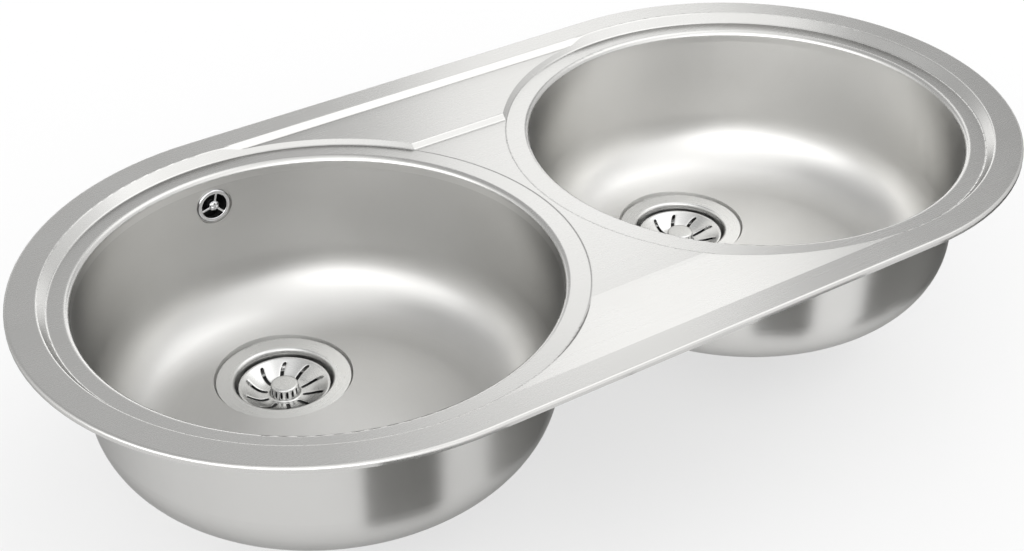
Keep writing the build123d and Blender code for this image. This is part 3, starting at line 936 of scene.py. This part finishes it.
def slot_angle(column, radius):
    """Angle of a column where every sixth one is a slot that leans and bows."""
    sector, part = divmod(column, SLOT_COLUMNS)
    along = (radius - SLOT_INNER) / (SLOT_OUTER - SLOT_INNER)
    along = min(max(along, 0), 1)
    bow = SLOT_BOW * 4 * along * (1 - along) / radius
    centre = SLOT_PHASE + sector * 2 * math.pi / SLOTS + SLOT_LEAN * (0.5 - along) + bow
    half = SLOT_HALF_WIDTH / radius
    if part == 0:
        return centre - half
    bar = 2 * math.pi / SLOTS - 2 * half
    return centre + half + bar * (part - 1) / (SLOT_COLUMNS - 1)


def window_angle(column, radius):
    """Angle of a column where two in every four are a window of the hub."""
    sector, part = divmod(column, WINDOW_COLUMNS)
    pitch = 2 * math.pi / WINDOWS
    half = WINDOW_HALF_WIDTH / radius
    return (sector + WINDOW_SHIFT) * pitch + (-half, 0, half, pitch / 2)[part]


def ring_angle(row, column, radius):
    """Angle of a column on one ring of the basket."""
    if len(cap_rings) <= row < slot_row - 2:
        return window_angle(column, radius)
    if row >= slot_row:
        return slot_angle(column, radius)
    return SLOT_PHASE + EVEN_SHIFT + column * 2 * math.pi / COLUMNS


def is_cut(row, column):
    """Whether the face outside a ring and after a column belongs to a slot or a window."""
    in_window = row == window_row and column % WINDOW_COLUMNS < 2
    in_slot = slot_row <= row < slot_row + SLOT_ROWS and column % SLOT_COLUMNS == 0
    return in_window or in_slot


# %% [markdown]
# The first row of the flat grid shrinks to the middle of the cap, and the two ends of each row meet, so the
# doubles are merged once the sheet is bent.

# %% Bend a basket
WELD_DISTANCE = 0.00001


def basket_sheet(side):
    """Bent sheet of a basket on the axis of one waste."""
    axis = waste_axis[side]
    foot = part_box(side + "_basket")[1][2] - HUB_HEIGHT
    rows = len(basket_rings) - 1
    sheet = bmesh.new()
    bmesh.ops.create_grid(sheet, x_segments=COLUMNS, y_segments=rows, size=0.5)
    cut = []
    for face in sheet.faces:
        flat = face.calc_center_median()
        if is_cut(int((flat.y + 0.5) * rows), int((flat.x + 0.5) * COLUMNS)):
            cut.append(face)
    bmesh.ops.delete(sheet, geom=cut, context="FACES")
    for vert in sheet.verts:
        row = round((vert.co.y + 0.5) * rows)
        radius, height = basket_rings[row]
        angle = ring_angle(row, round((vert.co.x + 0.5) * COLUMNS), radius) if radius else 0.0
        vert.co = Vector((radius * math.cos(angle), radius * math.sin(angle), height))
    bmesh.ops.remove_doubles(sheet, verts=sheet.verts[:], dist=WELD_DISTANCE)
    bmesh.ops.reverse_faces(sheet, faces=sheet.faces[:])
    bmesh.ops.translate(sheet, verts=sheet.verts[:], vec=(axis.x, axis.y, foot))
    return sheet


print("grid of", COLUMNS, "columns and", len(basket_rings) - 1, "rows")

# %% [markdown]
# Each finished piece rides on one of the bodies, takes the finish of the node that it replaces, and
# hides that node. All four pieces need this, so one function does it. A basket then gets its thickness and
# its soft edges from modifiers.

# %% Make the baskets
BASKET_SHEET = 0.0007
SMOOTHING = 2


def add_piece(name, mesh_data, body, slot, material, *replaced):
    """Finished piece from a bmesh, riding on a body in place of CAD nodes."""
    mesh = bpy.data.meshes.new(name)
    mesh_data.to_mesh(mesh)
    mesh_data.free()
    mesh.polygons.foreach_set("use_smooth", [True] * len(mesh.polygons))
    mesh.materials.append(material)
    piece = bpy.data.objects.new(name, mesh)
    scene.collection.objects.link(piece)
    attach(piece, body)
    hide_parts(*replaced)
    return piece


def make_basket(side):
    """Pressed basket with its thickness and its soft edges."""
    steel = side_finish[side]["basket_steel"]
    name = side + "_pressed_basket"
    piece = add_piece(name, basket_sheet(side), side + "_strainer", "basket_steel", steel, side + "_basket")
    thickness = piece.modifiers.new("sheet", "SOLIDIFY")
    thickness.thickness = BASKET_SHEET
    thickness.offset = -1
    smoothing = piece.modifiers.new("smoothing", "SUBSURF")
    smoothing.levels = SMOOTHING
    smoothing.render_levels = SMOOTHING
    return piece


for side in SIDES:
    basket_piece = make_basket(side)
    print(basket_piece.name, len(basket_piece.data.polygons), "faces before smoothing")

# %% [markdown]
# ## Overflow cover
# The cover of the overflow is a small chromed casting: a rounded ring, three spokes and a boss, held by one
# screw with a cross recess. It is made lying flat, with its back at height 0, and then put against its seat
# in the wall of the bowl. The screw is made in the same way, so both use the same move.

# %% Seat of the overflow cover
COVER_RADIUS = 0.0146
COVER_OPENING = 0.011
COVER_HEIGHT = 0.0022
BOSS_RADIUS = 0.0044
BOSS_HEIGHT = 0.0016
cover_low, cover_high = (Vector(corner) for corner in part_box("overflow_rosette"))
cover_middle = (cover_low + cover_high) / 2
seat_plane = Vector((cover_middle.x, cover_high.y, cover_middle.z))
onto_seat = Matrix.Translation(seat_plane) @ Matrix.Rotation(math.pi / 2, 4, "X")
print("cover on the wall at", [round(v, 4) for v in seat_plane])

# %% [markdown]
# A spoke is a block that is cut into four along its length, so that its waist can be made slimmer than the
# ends, which reach into the ring and the boss. Its long upper edges are bevelled.

# %% Spokes
SPOKE_WIDTH = 0.0026
SPOKE_WAIST = 0.75
SPOKE_START = BOSS_RADIUS * 0.6
SPOKE_END = COVER_OPENING + 0.001
SPOKE_CUTS = 3
SPOKE_BEVEL = 0.0005
NEAR_TOP = BOSS_HEIGHT * 0.9
SHARP_CORNER = 1.0


def spoke(angle):
    """Bevelled bar from the boss into the ring, with a slimmer waist; the angle is in degrees."""
    bar = bmesh.new()
    bmesh.ops.create_cube(bar, size=1)
    bmesh.ops.scale(bar, verts=bar.verts[:], vec=(SPOKE_END - SPOKE_START, SPOKE_WIDTH, BOSS_HEIGHT))
    centre = ((SPOKE_START + SPOKE_END) / 2, 0, BOSS_HEIGHT / 2)
    bmesh.ops.translate(bar, verts=bar.verts[:], vec=centre)
    lengthwise = [edge for edge in bar.edges if abs(edge.verts[0].co.x - edge.verts[1].co.x) > SPOKE_WIDTH]
    bmesh.ops.subdivide_edges(bar, edges=lengthwise, cuts=SPOKE_CUTS, use_grid_fill=True)
    half = SPOKE_WIDTH / 2
    waist = [vert for vert in bar.verts if SPOKE_START + half < vert.co.x < SPOKE_END - half]
    bmesh.ops.scale(bar, verts=waist, vec=(1, SPOKE_WAIST, 1))
    top = [edge for edge in bar.edges if min(vert.co.z for vert in edge.verts) > NEAR_TOP]
    top = [edge for edge in top if edge.calc_face_angle(0) > SHARP_CORNER]
    bmesh.ops.bevel(
        bar,
        geom=top,
        offset=SPOKE_BEVEL,
        offset_type="OFFSET",
        segments=3,
        profile=0.5,
        affect="EDGES",
        material=-1,
        clamp_overlap=True,
    )
    turn = Matrix.Rotation(math.radians(angle), 3, "Z")
    bmesh.ops.rotate(bar, verts=bar.verts[:], cent=(0, 0, 0), matrix=turn)
    return bar


print("spoke length:", round(SPOKE_END - SPOKE_START, 5))

# %% [markdown]
# Ring and boss are turned, so their section is spun round the axis. A section is a closed line of points,
# given by radius and height, and its upper corners are quarter circles.

# %% Ring and boss
RING_INNER_BEND = 0.0006
RING_OUTER_BEND = 0.0014
BOSS_BORE = 0.0024
BOSS_BEND = 0.0004
BEND_STEPS = 4


def bent_corner(radius, height, size, start):
    """Quarter circle of (radius, height) points about a centre, from a start angle in degrees downwards."""
    turns = [math.radians(start - 90 * step / BEND_STEPS) for step in range(BEND_STEPS + 1)]
    return [(radius + size * math.cos(turn), height + size * math.sin(turn)) for turn in turns]


def spun(sheet, section, segments):
    """Ring turned about Z from a closed section of (radius, height) points."""
    points = [sheet.verts.new((radius, 0, height)) for radius, height in section]
    edges = [sheet.edges.new(pair) for pair in zip(points, points[1:] + points[:1])]
    turned = {"cent": (0, 0, 0), "axis": (0, 0, 1), "angle": 2 * math.pi, "steps": segments}
    bmesh.ops.spin(sheet, geom=points + edges, use_merge=True, **turned)


ring_section = [
    (COVER_OPENING, 0.0),
    *bent_corner(COVER_OPENING + RING_INNER_BEND, COVER_HEIGHT - RING_INNER_BEND, RING_INNER_BEND, 180),
    *bent_corner(COVER_RADIUS - RING_OUTER_BEND, COVER_HEIGHT - RING_OUTER_BEND, RING_OUTER_BEND, 90),
    (COVER_RADIUS, 0.0),
]
boss_section = [
    (BOSS_BORE, 0.0),
    (BOSS_BORE, BOSS_HEIGHT),
    *bent_corner(BOSS_RADIUS - BOSS_BEND, BOSS_HEIGHT - BOSS_BEND, BOSS_BEND, 90),
    (BOSS_RADIUS, 0.0),
]
print("points of the ring's section:", len(ring_section), "of the boss's:", len(boss_section))

# %% Make the overflow cover
SPOKE_ANGLES = (75, 195, 315)
COVER_SHARP = math.radians(50)


def join_in(sheet, other):
    """Add the faces of another bmesh to this one."""
    carrier = bpy.data.meshes.new("carrier")
    other.to_mesh(carrier)
    other.free()
    sheet.from_mesh(carrier)
    bpy.data.meshes.remove(carrier)


cover = bmesh.new()
spun(cover, ring_section, segments=64)
spun(cover, boss_section, segments=48)
for spoke_angle in SPOKE_ANGLES:
    join_in(cover, spoke(spoke_angle))
bmesh.ops.recalc_face_normals(cover, faces=cover.faces[:])
bmesh.ops.transform(cover, matrix=onto_seat, verts=cover.verts[:])
chrome = finish["overflow_chrome"]
cover_piece = add_piece("overflow_cover", cover, "sink", "overflow_chrome", chrome, "overflow_rosette")
cover_piece.data.set_sharp_from_angle(angle=COVER_SHARP)
print(cover_piece.name, len(cover_piece.data.polygons), "faces")

# %% [markdown]
# The screw's head is a low dome. A grid of squares is rounded into a disc, domed, and the squares on its two
# middle lines are pressed in, which gives the cross recess. Its boundary is extruded down to the boss, and
# the shank is turned.

# %% Overflow screw
HEAD_RADIUS = 0.004
HEAD_HEIGHT = 0.0018
HEAD_SQUARES = 10
DOME_FALL = 0.75
RECESS_REACH = 0.62
RECESS_WIDTH = 0.11
RECESS_DEPTH = 0.0009
SHANK_RADIUS = 0.0025
SHANK_TIP_RADIUS = 0.002
SHANK_LENGTH = 0.016
SCREW_SHARP = math.radians(60)


def head_point(x, y):
    """Place on the head of a point of the square from -1 to 1."""
    pressed = min(abs(x), abs(y)) < RECESS_WIDTH and max(abs(x), abs(y)) < RECESS_REACH
    round_x = x * math.sqrt(1 - y * y / 2)
    round_y = y * math.sqrt(1 - x * x / 2)
    dome = 1 - DOME_FALL * (round_x * round_x + round_y * round_y)
    height = HEAD_HEIGHT * dome - (RECESS_DEPTH if pressed else 0)
    return Vector((round_x * HEAD_RADIUS, round_y * HEAD_RADIUS, BOSS_HEIGHT + height))


def screw():
    """Domed head with a cross recess, and its shank, on the axis of the cover."""
    sheet = bmesh.new()
    bmesh.ops.create_grid(sheet, x_segments=HEAD_SQUARES, y_segments=HEAD_SQUARES, size=1)
    for vert in sheet.verts:
        vert.co = head_point(vert.co.x, vert.co.y)
    boundary = [edge for edge in sheet.edges if edge.is_boundary]
    grown = bmesh.ops.extrude_edge_only(sheet, edges=boundary)["geom"]
    for item in grown:
        if isinstance(item, bmesh.types.BMVert):
            item.co.z = BOSS_HEIGHT
    bmesh.ops.contextual_create(sheet, geom=[edge for edge in sheet.edges if edge.is_boundary])
    shank = bmesh.ops.create_cone(
        sheet,
        cap_ends=True,
        segments=24,
        radius1=SHANK_TIP_RADIUS,
        radius2=SHANK_RADIUS,
        depth=SHANK_LENGTH,
    )
    bmesh.ops.translate(sheet, verts=shank["verts"], vec=(0, 0, BOSS_HEIGHT - SHANK_LENGTH / 2))
    bmesh.ops.recalc_face_normals(sheet, faces=sheet.faces[:])
    bmesh.ops.transform(sheet, matrix=onto_seat, verts=sheet.verts[:])
    return sheet


screw_piece = add_piece("overflow_cross_screw", screw(), "sink", "overflow_chrome", chrome, "overflow_screw")
screw_piece.data.set_sharp_from_angle(angle=SCREW_SHARP)
print(screw_piece.name, len(screw_piece.data.polygons), "faces")
